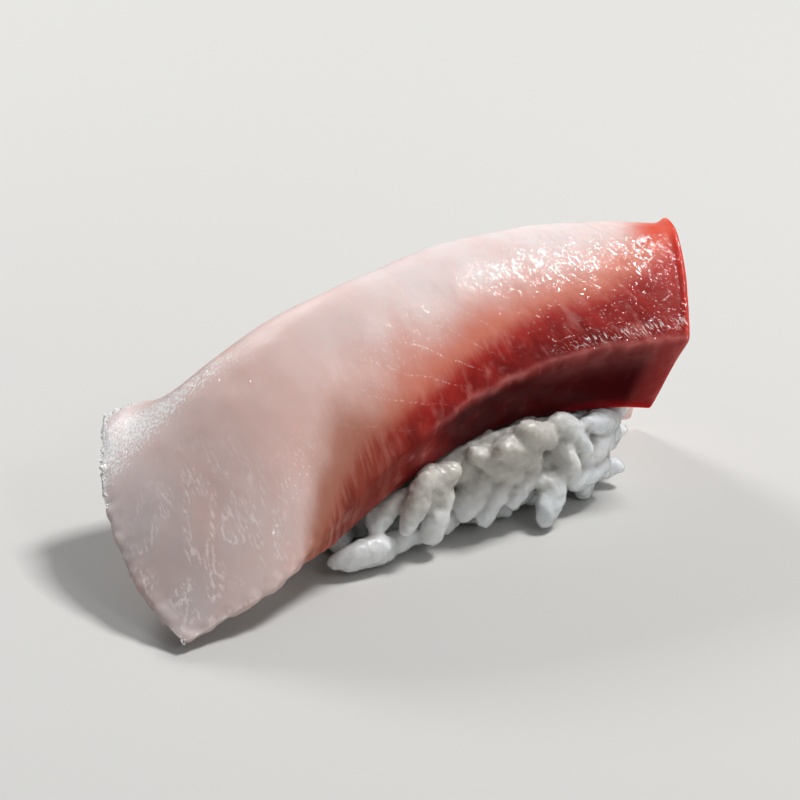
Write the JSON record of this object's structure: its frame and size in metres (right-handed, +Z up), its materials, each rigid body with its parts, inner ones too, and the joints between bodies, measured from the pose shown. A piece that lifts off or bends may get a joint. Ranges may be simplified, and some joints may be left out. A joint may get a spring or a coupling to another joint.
{
  "type": "yellowtail nigiri",
  "caption": "Raw fish slice draped over a hand-pressed block of rice, thin pale tail at one end and thick red flesh at the other, resting flat on the rice.",
  "frame": {"origin": "middle of the bounding box, on the plane that the rice rests on", "axes": "+X along the slice from its thin tail to its thick red end, +Z up, -Y towards the slice's thick cut side"},
  "size_m": [0.071, 0.0282, 0.0264],
  "materials": {
    "fish_flesh": "wet, translucent raw fish: pale pink flesh that turns deep red towards the thick end",
    "cooked_rice": "moist, slightly translucent short-grain rice"
  },
  "bodies": {
    "root": {"fish_slice": "fish_flesh", "rice_block": "cooked_rice"}
  },
  "joints": []
}
